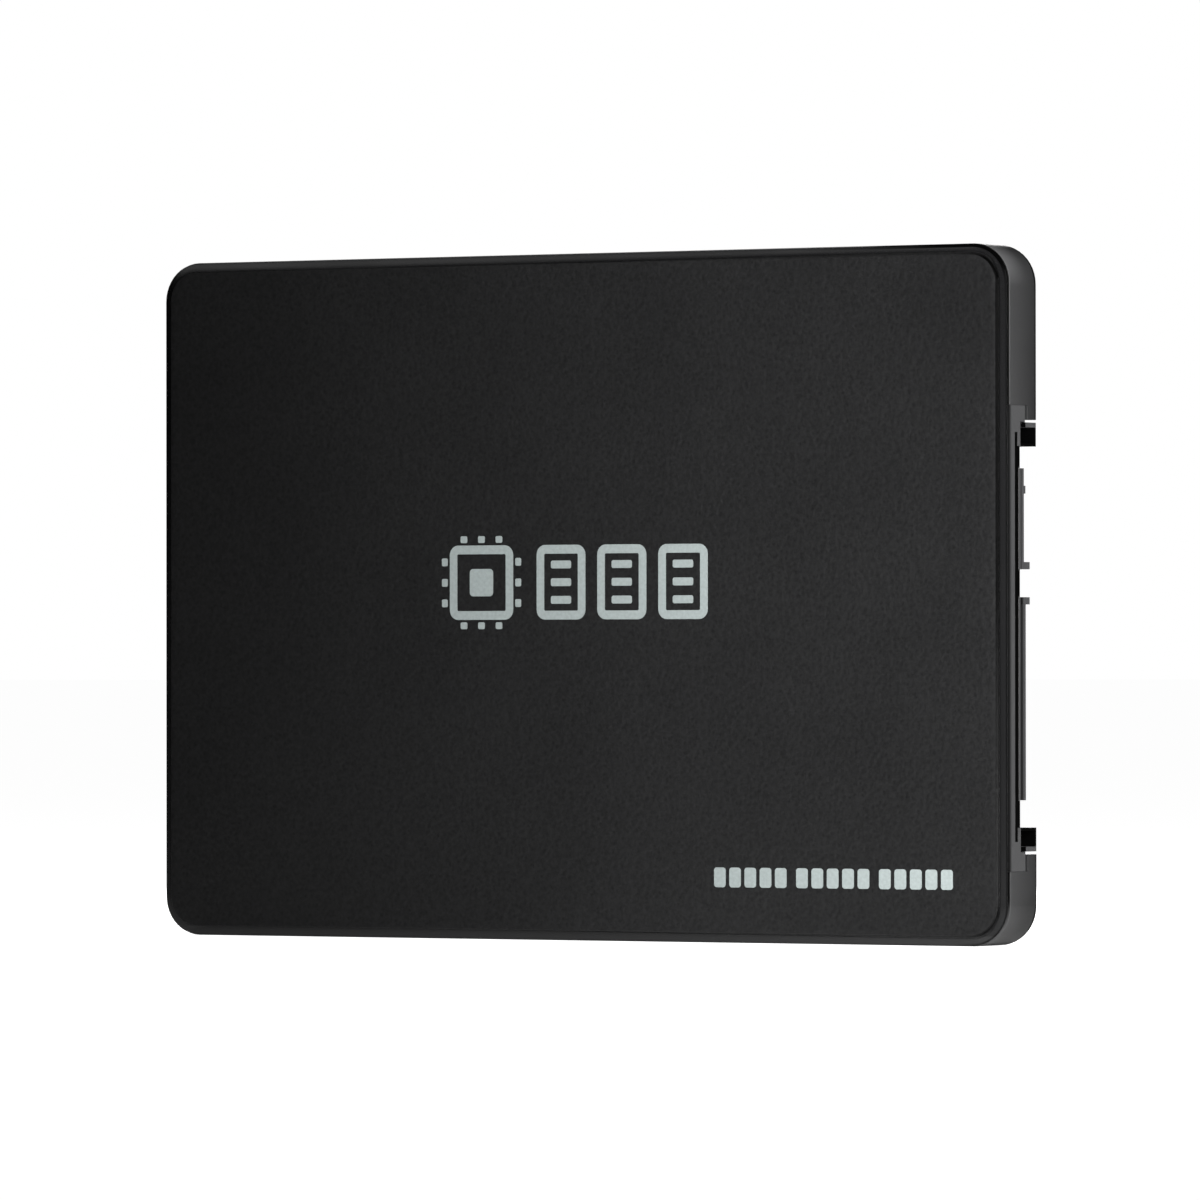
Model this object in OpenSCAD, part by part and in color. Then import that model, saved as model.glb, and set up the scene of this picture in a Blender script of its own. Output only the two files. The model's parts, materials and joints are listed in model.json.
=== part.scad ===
// A 2.5 inch SATA solid state drive, 7 mm thick, standing on its long edge.
// Every piece is drawn lying flat: X runs along the length with the connector
// at +X, Y across the width, and Z from the outside of the base (0) up to the
// cover's face. stand() then turns it upright, with the cover facing -Y.

/* [Case] */
// Length from the plain end to the connector end
case_l = 100; // [99.8:0.05:100.45]
// Width between the two long sides
case_w = 69.85; // [69.6:0.05:70.1]
// Thickness from the base to the cover's face
case_t = 7; // [7:0.1:9.5]
// Radius of the outline's four corners
corner_r = 4; // [3:0.1:5]
// Thickness of the base's side walls
wall_t = 1.3; // [1.2:0.05:1.4]
// Thickness of the base's floor
floor_t = 1; // [0.9:0.05:1.05]
// Radius along the base's outer edge
base_edge_r = 0.9; // [0.5:0.1:0.9]
// Chamfer along the top of the base's walls
wall_chamfer = 0.12; // [0.08:0.01:0.2]

/* [Cover] */
// Distance of the cover's edge from the outline
cover_inset = 0.1; // [0.05:0.01:0.15]
// Distance of the raised field from the outline
field_inset = 0.99; // [0.8:0.01:1.2]
// Height of the raised field above the rim
field_step = 0.46; // [0.4:0.01:0.5]
// Radius along the raised field's edge
field_edge_r = 0.12; // [0.05:0.01:0.2]
// Depth of the rim's outer edge below the face
rim_drop = 0.54; // [0.5:0.01:0.6]
// Depth at which the cover ends and the base begins
gap_bottom = 0.8; // [0.7:0.01:0.9]
// How far the shadow gap under the cover's edge goes in
gap_inset = 0.35; // [0.2:0.05:0.5]
// Height of the skirt that fits inside the base
skirt_h = 1.36; // [1:0.02:1.4]
// Width of a snap hook
hook_w = 6; // [4:0.5:8]

/* [Mounting holes] */
// Distance of the near holes from the connector end
near_hole = 14; // [13.8:0.05:14.2]
// Distance of the far holes from the connector end
far_hole = 90.6; // [90.4:0.05:90.8]
// Distance of the base holes from the long sides
base_hole_inset = 4.07; // [4:0.01:4.2]
// Height of the side holes above the base
side_hole_z = 3; // [2.9:0.05:3.1]
// Radius of the bored M3 thread
thread_r = 1.25; // [1.2:0.01:1.27]
// Depth of the base holes
base_hole_depth = 3.4; // [3:0.1:3.4]
// Depth of the side holes
side_hole_depth = 2.5; // [2.3:0.05:2.5]

/* [Connector] */
// Distance of the guide ears' centre from the drive's centre line
conn_y = -4.19; // [-4.3:0.01:-4.1]
// Distance of the tongues' centre from the drive's centre line
tongues_y = -3.92; // [-4:0.01:-3.8]
// Width of the connector's roof strip
roof_w = 46.3; // [46.1:0.05:46.5]
// Distance of the roof strip's centre from the drive's centre line
roof_y = -4.33; // [-4.4:0.01:-4.2]
// Width over the two guide ears
ears_w = 42.68; // [42.5:0.01:42.9]
// Width of one guide ear
ear_w = 2.37; // [2.3:0.01:2.5]
// Gap beside each ear in the base's wall
ear_gap = 0.29; // [0.2:0.01:0.35]
// Length of the opening in the base for the plug
plug_depth = 5.4; // [5:0.1:5.6]
// Distance of the tongues' tips from the end face
tongue_back = 0.63; // [0.5:0.01:0.8]
// Height of the tongues' cover side above the base
tongue_top = 3.22; // [3.1:0.01:3.3]
// Thickness of the signal tongue
signal_t = 1.27; // [1.2:0.01:1.35]
// Thickness of the power tongue
power_t = 1.64; // [1.55:0.01:1.7]
// Width of the signal tongue
signal_w = 10.04; // [9.95:0.01:10.41]
// Width of the power tongue
power_w = 20.21; // [20.1:0.01:20.57]
// Gap between the two tongues
tongue_gap = 2.78; // [2.41:0.01:2.9]
// Height of the L keys' ends above the base
key_z = 0.85; // [0.75:0.01:0.95]
// Spacing of the contacts
contact_pitch = 1.27; // [1.26:0.01:1.28]
// Width of one contact
contact_w = 0.84; // [0.7:0.01:0.9]
// Thickness of one contact
contact_t = 0.2; // [0.16:0.01:0.22]
// How far a contact stands out of its groove
contact_proud = 0.05; // [0.03:0.01:0.08]

/* [Circuit board] */
// Thickness of the board
board_t = 1; // [0.8:0.1:1.2]
// Gap between the board's long edges and the case walls
board_gap = 1.225; // [1.1:0.005:1.3]
// Length of the flash memory packages' short side
flash_l = 12; // [11:0.5:12.5]
// Length of the flash memory packages' long side
flash_w = 18; // [16:0.5:18]
// Height of the flash memory packages
flash_h = 1; // [0.9:0.05:1.4]
// Side of the square controller chip
controller_side = 16; // [12:1:17]
// Height of the controller chip
controller_h = 1.2; // [1:0.05:1.5]

/* [Hidden] */
$fn = 48;
eps = 0.01;               // how far a cutter runs past the face it opens

x_end = case_l / 2;       // the connector end face
y_side = case_w / 2;      // a long side
seat_z = case_t - gap_bottom;    // top of the base's walls, under the cover
inner_x = x_end - wall_t;
inner_y = y_side - wall_t;

hole_xs = [x_end - near_hole, x_end - far_hole];
hole_y = y_side - base_hole_inset;
block_half_l = 3.6;
block_reach = 7.2;        // from the long side to the block's inner face
block_top = 4.5;
block_rib_t = 0.8;        // the two ribs that hold each block in the base
block_rib_gap = 0.05;
block_rib_drop = 0.1;     // how far the ribs end below the board
base_collar_r = 2.2;
side_collar_r = 1.9;
flush_gap = 0.02;         // how far inserts and the label sit below a surface

label_l = 64;
label_w = 50;
label_t = 0.1;
label_x = -2;
label_margin = 0.1;       // gap between the label and the edge of its recess

notch_x = x_end - plug_depth;    // inner end of the opening for the plug
bar_t = 2.2;                     // length of the connector's solid back
bar_back_x = notch_x - bar_t;    // back of the connector, edge of the board
roof_z = 5.07;                   // underside of the roof strip
lip_z = 3.87;                    // underside of the roof's inner lip
lip_set_back = 0.1;
lip_relief_z = 4.13;             // lower edge of the lip above each tongue
slot_half = 20.34;               // from the ears' centre to each end of the lip
ear_top_z = 4.35;
ear_bottom_z = 0.7;
leg_l = 1.1;
leg_z = 2.98;                    // lower end of the roof's two legs
leg_gap = 0.48;
leg_clearance = 0.03;
ear_out = ears_w / 2;
ear_in = ear_out - ear_w;
tip_x = x_end - tongue_back;
tip_chamfer = 0.1;
tongues_w = signal_w + tongue_gap + power_w;
signal_y = tongues_y + tongues_w / 2 - signal_w / 2;
power_y = tongues_y + power_w / 2 - tongues_w / 2;
signal_z = tongue_top - signal_t;    // contact side of the signal tongue
power_z = tongue_top - power_t;      // contact side of the power tongue
key_w = 0.72;
signal_count = 7;
power_count = 15;
row_gap = 6.35;                  // from the last signal to the first power contact
contacts_w = (signal_count + power_count - 2) * contact_pitch + row_gap;
groove_tip_x = tip_x - 0.38;     // end of the contacts' grooves
early_tip_x = tip_x - 0.4;       // end of the contacts that touch first
late_tip_x = tip_x - 0.9;        // end of all the other contacts
tail_x = bar_back_x - 4.2;       // end of the contacts' solder tails
rise_x = bar_back_x + 1.2;       // where the power contacts step to their tongue
tail_low = signal_z - contact_proud;
tail_high = tail_low + contact_t;
lock_l = 3;
lock_w = 2;
lock_t = 0.3;
lock_grip = 1.5;
lock_y = ear_out - 1.6;
peg_r = 0.6;

board_low = tail_high;           // the contacts' tails lie under the board
board_top = board_low + board_t;
board_back_x = 3.5 - x_end;      // the board's edge at the plain end
board_half_w = inner_y - board_gap;
screw_xs = [28.5, -33];
screw_y = 29.3;
screw_shank_r = 0.8;
screw_head_r = 1.9;
screw_head_h = 1;
pilot_low = 0.4;                 // bottom of the screws' pilot holes
screw_hole_r = 1.1;
boss_r = 2.6;
hook_xs = [-20, 0, 20];
hook_t = 0.8;
hook_h = 2.4;
barb = 0.3;
barb_h = 0.7;
barb_gap = 0.1;                  // clearance of a barb in the wall's pocket
end_hook_y = 18;
hook_fit = 0.05;                 // gap between the cover's skirt and the walls
rib_x = -5;                      // the two stiffening ribs under the cover
rib_y = 26.5;
rib_l = 64;
rib_t = 0.8;
rib_h = 0.6;

flash_pitch = 14.5;
flash_first_x = 4;
flash_y = 11.5;
controller_x = 22;
controller_y = 2;

// ---------- shared shapes ----------

// Turns a piece from lying flat to standing on its long edge.
module stand() {
  translate([0, case_t / 2, case_w / 2]) rotate([90, 0, 0]) children();
}

// The case's outline, moved in by inset on every side.
module outline(inset) {
  l = case_l - 2 * inset;
  w = case_w - 2 * inset;
  r = corner_r - inset;
  square([l - 2 * r, w], center = true);
  square([l, w - 2 * r], center = true);
  for (sx = [-1, 1], sy = [-1, 1])
    translate([sx * (l / 2 - r), sy * (w / 2 - r)]) circle(r);
}

// A plate of the case's outline between two heights.
module slab(inset, low, high) {
  translate([0, 0, low]) linear_extrude(high - low) outline(inset);
}

// Carries a section round the case's edge. The section's x is the distance
// outwards from the corner centres, so the outline is at x = corner_r.
module round_edge() {
  for (turn = [0 : 90 : 270]) {
    along_x = turn % 180 != 0;
    reach = (along_x ? y_side : x_end) - corner_r;
    run = 2 * ((along_x ? x_end : y_side) - corner_r);
    rotate([0, 0, turn]) translate([reach, 0, 0])
      rotate([90, 0, 0]) linear_extrude(run, center = true) children();
  }
  for (corner = [[1, 1, 0], [-1, 1, 90], [-1, -1, 180], [1, -1, 270]])
    translate([corner[0] * (x_end - corner_r), corner[1] * (y_side - corner_r), 0])
      rotate([0, 0, corner[2]]) rotate_extrude(angle = 90) children();
}

// A box given by its lowest and highest corners.
module box(low, high) {
  translate(low) cube(high - low);
}

// The same box at +y and mirrored at -y, about the connector's centre.
module both_ends(low, high) {
  for (side = [0, 1])
    translate([0, conn_y, 0]) mirror([0, side, 0]) box(low, high);
}

// A rod along Z between two heights.
module rod(r, low, high) {
  translate([0, 0, low]) cylinder(r = r, h = high - low);
}

// A moulded chip package on the board, with a dimple that marks pin 1.
module package(x, y, l, w, h) {
  translate([x, y, board_top]) difference() {
    translate([-l / 2, -w / 2, 0]) cube([l, w, h]);
    translate([1 - l / 2, w / 2 - 1, h - 0.1]) cylinder(r = 0.4, h = 0.2);
  }
}

// A small two-ended part: a body with a slightly larger cap at each end.
module two_ended(x, y, l, w, h, turn = 0) {
  cap_l = l * 0.2;
  proud = 0.03;
  translate([x, y, board_top]) rotate([0, 0, turn]) union() {
    translate([-l / 2, proud - w / 2, 0]) cube([l, w - 2 * proud, h - proud]);
    for (side = [0, 1]) mirror([side, 0, 0])
      translate([l / 2 - cap_l, -w / 2, 0]) cube([cap_l, w, h]);
  }
}

// ---------- case ----------

module base_outer() {
  c = wall_chamfer;
  slab(0, base_edge_r, seat_z - c);
  slab(c, base_edge_r, seat_z);
  round_edge() polygon([[corner_r - c - eps, seat_z - c], [corner_r, seat_z - c],
                        [corner_r - c, seat_z], [corner_r - c - eps, seat_z]]);
  slab(base_edge_r, 0, base_edge_r);
  round_edge() intersection() {
    translate([corner_r - base_edge_r, base_edge_r]) circle(base_edge_r);
    translate([corner_r - base_edge_r, 0]) square(base_edge_r);
  }
}

// Where the connector's roof, legs and ears stand in the base's end wall.
module connector_notch() {
  half = ear_out + ear_gap;
  leg_half = roof_w / 2 + leg_clearance;
  box([notch_x, conn_y - half, -eps], [x_end + eps, conn_y + half, seat_z + eps]);
  box([inner_x - eps, roof_y - leg_half, leg_z - leg_gap],
      [x_end + eps, roof_y + leg_half, seat_z + eps]);
}

module hook_sites() {
  for (x = hook_xs, side = [0, 1])
    mirror([0, side, 0]) translate([x, inner_y, 0]) children();
  for (y = [-end_hook_y, end_hook_y])
    translate([-inner_x, y, 0]) rotate([0, 0, 90]) children();
}

module base_shell() {
  color([0.13, 0.13, 0.14])
  difference() {
    union() {
      difference() {
        base_outer();
        slab(wall_t, floor_t, seat_z + 1);
      }
      for (x = screw_xs, side = [-1, 1])
        translate([x, side * screw_y, 0]) rod(boss_r, floor_t - eps, board_low);
      for (x = hole_xs, dx = [-1, 1], side = [0, 1])
        mirror([0, side, 0])
          translate([x + dx * (block_half_l + block_rib_gap + block_rib_t / 2), 0, 0])
            box([-block_rib_t / 2, y_side - block_reach, floor_t - eps],
                [block_rib_t / 2, inner_y + eps, board_low - block_rib_drop]);
    }
    connector_notch();
    hook_sites()
      box([-hook_w / 2 - 2 * barb_gap, -eps, seat_z - hook_h - barb_gap],
          [hook_w / 2 + 2 * barb_gap, barb + barb_gap, seat_z - hook_h + barb_h + barb_gap]);
    translate([label_x - label_l / 2, -label_w / 2, -eps])
      cube([label_l, label_w, label_t + flush_gap + eps]);
    for (x = screw_xs, side = [-1, 1])
      translate([x, side * screw_y, 0]) rod(screw_shank_r, pilot_low, board_low + eps);
    for (x = hole_xs, side = [-1, 1]) {
      translate([x, side * hole_y, 0]) rod(base_collar_r, -eps, floor_t + eps);
      translate([x, side * (y_side + eps), side_hole_z]) rotate([90 * side, 0, 0])
        cylinder(r = side_collar_r, h = wall_t + 2 * eps);
    }
  }
}

// A threaded block in one corner, with a collar to the base and to the side.
module mount_block() {
  difference() {
    union() {
      box([-block_half_l, y_side - block_reach, floor_t],
          [block_half_l, inner_y, block_top]);
      translate([0, hole_y, 0]) rod(base_collar_r, flush_gap, floor_t + eps);
      translate([0, y_side - flush_gap, side_hole_z]) rotate([90, 0, 0])
        cylinder(r = side_collar_r, h = wall_t);
    }
    translate([0, hole_y, 0]) rod(thread_r, -eps, base_hole_depth);
    translate([0, y_side + eps, side_hole_z]) rotate([90, 0, 0])
      cylinder(r = thread_r, h = side_hole_depth + eps);
  }
}

module threaded_mount_blocks() {
  color([0.78, 0.62, 0.32])
  for (x = hole_xs, side = [0, 1])
    mirror([0, side, 0]) translate([x, 0, 0]) mount_block();
}

module snap_hook() {
  low = seat_z - hook_h;
  translate([0, -hook_fit, 0]) {
    box([-hook_w / 2, -hook_t, low], [hook_w / 2, 0, seat_z - 0.5]);
    translate([-hook_w / 2, 0, low]) rotate([90, 0, 90])
      linear_extrude(hook_w) polygon([[0, 0], [barb, barb_h * 0.6], [0, barb_h]]);
  }
}

module cover_skirt() {
  fit = wall_t + hook_fit;
  difference() {
    slab(fit, seat_z - skirt_h, seat_z);
    slab(fit + hook_t, seat_z - skirt_h - eps, seat_z + eps);
    translate([0, roof_y, 0])
      box([bar_back_x - 0.3, -roof_w / 2 - 0.3, 0],
          [x_end, roof_w / 2 + 0.3, seat_z + eps]);
  }
}

module top_cover() {
  edge_r = field_edge_r;
  field_r = corner_r - field_inset;
  rim_r = corner_r - cover_inset;
  color([0.10, 0.10, 0.11]) {
    slab(field_inset, seat_z, case_t - edge_r);
    slab(field_inset + edge_r, case_t - edge_r, case_t);
    round_edge() intersection() {
      translate([field_r - edge_r, case_t - edge_r]) circle(edge_r);
      translate([field_r - edge_r, case_t - edge_r]) square(edge_r);
    }
    round_edge() polygon([[field_r - eps, seat_z],
                          [corner_r - gap_inset, seat_z],
                          [rim_r, case_t - rim_drop],
                          [field_r - eps, case_t - field_step]]);
    cover_skirt();
    hook_sites() snap_hook();
    for (side = [-1, 1])
      translate([rib_x, side * rib_y, seat_z])
        box([-rib_l / 2, -rib_t / 2, -rib_h], [rib_l / 2, rib_t / 2, eps]);
  }
}

module base_label() {
  half_l = label_l / 2 - label_margin;
  half_w = label_w / 2 - label_margin;
  color([0.86, 0.86, 0.85]) translate([label_x, 0, flush_gap])
    box([-half_l, -half_w, 0], [half_l, half_w, label_t]);
}

// ---------- circuit board ----------

module circuit_board() {
  front_cut = hole_xs[0] - block_half_l - 0.5;
  back_cut = hole_xs[1] + block_half_l + 0.6;
  cut_y = y_side - block_reach - 0.72;
  color([0.05, 0.22, 0.16])
  translate([0, 0, board_low]) linear_extrude(board_t) difference() {
    translate([board_back_x, -board_half_w])
      square([bar_back_x - board_back_x, 2 * board_half_w]);
    for (side = [0, 1]) mirror([0, side]) {
      translate([front_cut, cut_y]) square([case_l, case_w]);
      translate([back_cut - case_l, cut_y]) square([case_l, case_w]);
      for (x = screw_xs) translate([x, screw_y]) circle(screw_hole_r);
    }
    for (side = [-1, 1])
      translate([bar_back_x - lock_l / 2, conn_y + side * lock_y]) circle(peg_r);
  }
}

module board_screws() {
  slot_w = 0.5;
  slot_l = 2.2;
  color([0.72, 0.73, 0.75])
  for (x = screw_xs, side = [-1, 1])
    translate([x, side * screw_y, 0]) difference() {
      union() {
        rod(screw_shank_r, pilot_low + 0.1, board_top + eps);
        rod(screw_head_r, board_top, board_top + screw_head_h);
      }
      for (turn = [0, 90]) rotate([0, 0, turn])
        translate([-slot_l / 2, -slot_w / 2, board_top + screw_head_h - 0.5])
          cube([slot_l, slot_w, 1]);
    }
}

// ---------- connector ----------

// Each row of contacts counts inwards from the outer end of its tongue.
function signal_ys() =
  [for (i = [0 : signal_count - 1]) tongues_y + contacts_w / 2 - i * contact_pitch];
function power_ys() =
  [for (i = [0 : power_count - 1]) tongues_y - contacts_w / 2 + i * contact_pitch];

// A contact blade at one place across the width: a tail under the board, and
// a blade that steps down to its own height and runs to its tip.
module contact_blade(y, low, tip) {
  translate([0, y - contact_w / 2, 0]) {
    box([tail_x, 0, tail_low], [rise_x + contact_t, contact_w, tail_high]);
    box([rise_x, 0, low], [rise_x + contact_t, contact_w, tail_high]);
    box([rise_x, 0, low], [tip, contact_w, low + contact_t]);
  }
}

module signal_contacts() {
  color([0.85, 0.66, 0.28])
  for (i = [0 : signal_count - 1])
    contact_blade(signal_ys()[i], tail_low, i % 3 == 0 ? early_tip_x : late_tip_x);
}

module power_contacts() {
  color([0.85, 0.66, 0.28])
  for (i = [0 : power_count - 1])
    contact_blade(power_ys()[i], power_z - contact_proud,
                  i % 4 == 0 ? early_tip_x : late_tip_x);
}

// One tongue with its contact side at low, and chamfered tip edges.
module tongue(y, w, low) {
  c = tip_chamfer;
  translate([0, y + w / 2, 0]) rotate([90, 0, 0]) linear_extrude(w)
    polygon([[notch_x - eps, low], [tip_x - c, low],
             [tip_x, low + c], [tip_x, tongue_top - c],
             [tip_x - c, tongue_top], [notch_x - eps, tongue_top]]);
}

// A hollow guide ear. Its outer wall is set back beside the roof's leg.
module guide_ear() {
  outer_wall = 0.48;
  thin_wall = 0.3;
  pocket_x = x_end - 2.5;
  pocket_top = 3.91;
  outer_wall_top = 2.87;
  recess_x = x_end - 0.6;
  difference() {
    box([notch_x - eps, ear_in, ear_bottom_z], [x_end, ear_out, ear_top_z + eps]);
    box([pocket_x, ear_in + thin_wall, ear_bottom_z + thin_wall],
        [x_end + eps, ear_out - outer_wall, pocket_top]);
    box([recess_x, ear_out - outer_wall - eps, outer_wall_top],
        [x_end + eps, ear_out + eps, pocket_top]);
  }
}

// The strip over the plug's opening, with a leg down each side of the ears.
module roof_and_lip() {
  roof_half = roof_w / 2;
  translate([0, roof_y, 0]) difference() {
    box([x_end - leg_l, -roof_half, leg_z], [x_end, roof_half, seat_z]);
    translate([0, conn_y - roof_y, 0])
      box([x_end - leg_l - eps, -ear_out, leg_z - eps], [x_end + eps, ear_out, roof_z]);
  }
  translate([0, conn_y, 0])
    box([notch_x - eps, -ear_out, roof_z], [x_end - leg_l + eps, ear_out, seat_z]);
  difference() {
    translate([0, conn_y, 0])
      box([notch_x - eps, -slot_half, lip_z], [x_end - lip_set_back, slot_half, roof_z + eps]);
    for (tongue = [[signal_y, signal_w], [power_y, power_w]])
      translate([0, tongue[0], 0])
        box([notch_x, -tongue[1] / 2, lip_z - eps], [x_end, tongue[1] / 2, lip_relief_z]);
  }
  both_ends([notch_x - eps, slot_half - eps, ear_top_z], [x_end, ear_out, roof_z + eps]);
}

// The L key at a tongue's inner end, between two places across the width.
module tongue_key(from, to) {
  box([notch_x - eps, from, key_z], [tip_x, to, tongue_top - tip_chamfer - eps]);
}

// Fine mould details at the tongues' tips.
module tip_slots() {
  translate([0, power_y, 0])
    box([tip_x - 0.8, -power_w / 2 - eps, 2.3],
        [tip_x + eps, power_w / 2 - key_w, 2.76]);
  translate([0, signal_y, 0])
    box([tip_x - 0.12, key_w - signal_w / 2, 2.56],
        [tip_x + eps, signal_w / 2 + eps, 2.66]);
}

module connector_housing() {
  signal_inner = signal_y - signal_w / 2;
  power_inner = power_y + power_w / 2;
  rib_low = 1.72;
  rib_mid = signal_y + signal_w / 2 - 2.12;
  rib_half = 0.39;
  color([0.16, 0.16, 0.17])
  difference() {
    union() {
      translate([0, conn_y, 0])
        box([bar_back_x, -ear_out, floor_t], [notch_x, ear_out, seat_z]);
      roof_and_lip();
      for (side = [0, 1])
        translate([0, conn_y, 0]) mirror([0, side, 0]) guide_ear();
      tongue(signal_y, signal_w, signal_z);
      tongue(power_y, power_w, power_z);
      tongue_key(signal_inner, signal_inner + key_w);
      tongue_key(power_inner - key_w, power_inner);
      box([groove_tip_x + eps, rib_mid - rib_half, rib_low],
          [tip_x, rib_mid + rib_half, signal_z + tip_chamfer + eps]);
    }
    for (y = signal_ys()) contact_blade(y, tail_low, groove_tip_x);
    for (y = power_ys()) contact_blade(y, power_z - contact_proud, groove_tip_x);
    tip_slots();
    both_ends([bar_back_x - eps, lock_y - lock_w / 2, board_top],
              [bar_back_x + lock_grip, lock_y + lock_w / 2, board_top + lock_t]);
  }
}

module connector_board_locks() {
  color([0.72, 0.70, 0.66])
  for (side = [-1, 1])
    translate([bar_back_x, conn_y + side * lock_y, 0]) {
      box([-lock_l, -lock_w / 2, board_top], [lock_grip, lock_w / 2, board_top + lock_t]);
      translate([-lock_l / 2, 0, 0]) rod(peg_r, board_low - 0.3, board_top + eps);
    }
}

// ---------- chips and small parts ----------

module controller_chip() {
  color([0.08, 0.08, 0.09])
  package(controller_x, controller_y, controller_side, controller_side, controller_h);
}

module controller_thermal_pad() {
  pad = controller_side - 2;
  color([0.55, 0.62, 0.68])
  translate([controller_x - pad / 2, controller_y - pad / 2, board_top + controller_h])
    cube([pad, pad, seat_z - board_top - controller_h]);
}

// Eight packages in four columns, numbered from the controller outwards.
module flash_package(number) {
  column = floor((number - 1) / 2);
  side = number % 2 == 1 ? 1 : -1;
  color([0.09, 0.09, 0.10])
  package(flash_first_x - column * flash_pitch, side * flash_y, flash_l, flash_w, flash_h);
}

module cache_memory_chip() {
  color([0.08, 0.08, 0.09]) package(22, 19.5, 9, 11, 1);
}

module boot_memory_chip() {
  color([0.08, 0.08, 0.09]) package(22, -11, 5, 6, 1.2);
}

module power_management_chip() {
  color([0.08, 0.08, 0.09]) package(30, -22, 5, 5, 0.9);
}

module voltage_regulator() {
  color([0.08, 0.08, 0.09]) package(34.5, 8, 3, 3, 1.1);
}

module power_inductors() {
  color([0.30, 0.30, 0.32])
  for (spot = [[34.3, -16], [23, -18.5], [23, -24]])
    package(spot[0], spot[1], 4, 4, 1.8);
}

module tantalum_capacitors() {
  color([0.80, 0.55, 0.20])
  for (spot = [[14.5, 28], [6, 28], [14.5, -28], [6, -28]])
    two_ended(spot[0], spot[1], 6, 3.2, 1.8);
}

module ceramic_capacitors() {
  color([0.62, 0.52, 0.40]) {
    for (column = [0 : 3], side = [-1, 1], dx = [-3, 3])
      two_ended(flash_first_x - column * flash_pitch + dx, side * 23, 1.6, 0.8, 0.8);
    for (i = [0 : 3])
      two_ended(controller_x - 6 + 4 * i, -7.4, 1, 0.5, 0.5);
    for (i = [0 : 2])
      two_ended(30.5 - 3.3 * i, -27.5, 2, 1.25, 1.2, 90);
  }
}

module chip_resistors() {
  color([0.12, 0.12, 0.13]) {
    for (i = [0 : 7])
      two_ended(12, -6 + 2 * i, 1, 0.5, 0.35, 90);
    for (i = [0 : 3])
      two_ended(31.5, -9 + 2 * i, 1, 0.5, 0.35);
  }
}

module clock_crystal() {
  color([0.75, 0.76, 0.78]) two_ended(34, 14, 3.2, 2.5, 0.8);
}

module input_fuse() {
  color([0.85, 0.85, 0.80]) two_ended(35.6, -10.5, 3.2, 1.6, 0.8, 90);
}

module surge_diode() {
  color([0.10, 0.10, 0.11]) two_ended(35, -1.5, 3.6, 2.6, 1.1, 90);
}

stand() top_cover();
stand() base_shell();
stand() threaded_mount_blocks();
stand() base_label();
stand() circuit_board();
stand() board_screws();
stand() connector_housing();
stand() signal_contacts();
stand() power_contacts();
stand() connector_board_locks();
stand() controller_chip();
stand() controller_thermal_pad();
for (number = [1 : 8])
  stand() flash_package(number);
stand() cache_memory_chip();
stand() boot_memory_chip();
stand() power_management_chip();
stand() voltage_regulator();
stand() power_inductors();
stand() tantalum_capacitors();
stand() ceramic_capacitors();
stand() chip_resistors();
stand() clock_crystal();
stand() input_fuse();
stand() surge_diode();
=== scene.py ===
"""Looks of a 2.5 inch solid state drive that stands on its long edge.

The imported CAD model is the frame. This script gives every node a procedural
material, prints a made-up emblem on the cover, lays out a plain label, adds
thread ridges to the mounting holes, and sets the camera, floor and lights.
"""
import json
import math

import bmesh
import bpy
from mathutils import Matrix, Vector


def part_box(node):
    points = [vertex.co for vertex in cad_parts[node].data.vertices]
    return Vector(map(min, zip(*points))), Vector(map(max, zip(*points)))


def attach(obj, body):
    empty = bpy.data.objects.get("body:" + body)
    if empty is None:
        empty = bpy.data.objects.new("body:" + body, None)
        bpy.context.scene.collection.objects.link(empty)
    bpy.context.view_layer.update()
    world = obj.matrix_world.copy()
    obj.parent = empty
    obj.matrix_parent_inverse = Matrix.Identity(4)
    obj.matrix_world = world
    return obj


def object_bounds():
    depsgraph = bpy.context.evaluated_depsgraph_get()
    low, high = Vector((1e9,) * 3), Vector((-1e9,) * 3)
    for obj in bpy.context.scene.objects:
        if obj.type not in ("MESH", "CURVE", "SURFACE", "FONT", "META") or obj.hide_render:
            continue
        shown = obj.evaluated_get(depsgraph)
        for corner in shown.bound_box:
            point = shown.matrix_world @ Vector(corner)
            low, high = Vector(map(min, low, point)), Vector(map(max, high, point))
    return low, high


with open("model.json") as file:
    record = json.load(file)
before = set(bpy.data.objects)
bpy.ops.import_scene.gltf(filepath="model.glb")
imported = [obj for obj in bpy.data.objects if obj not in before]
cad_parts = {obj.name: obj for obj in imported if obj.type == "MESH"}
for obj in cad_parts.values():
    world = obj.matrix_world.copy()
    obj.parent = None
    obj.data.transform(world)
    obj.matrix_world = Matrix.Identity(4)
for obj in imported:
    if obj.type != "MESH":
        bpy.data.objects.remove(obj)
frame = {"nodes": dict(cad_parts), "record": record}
cad_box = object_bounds()

MM = 0.001

# ---------- places, from the frame ----------

LOW, HIGH = cad_box
FACE_Y = LOW.y                      # the cover's raised field
CENTRE = (LOW + HIGH) / 2
HALF_HEIGHT = (HIGH.z - LOW.z) / 2
COVER_LOW, COVER_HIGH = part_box("top_cover")
HOUSING_LOW, HOUSING_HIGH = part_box("connector_housing")
LABEL_LOW, LABEL_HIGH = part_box("base_label")
MOUNTS = {mount["name"]: mount for mount in frame["record"]["mounts"]}

# ---------- details of the CAD model ----------

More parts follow.
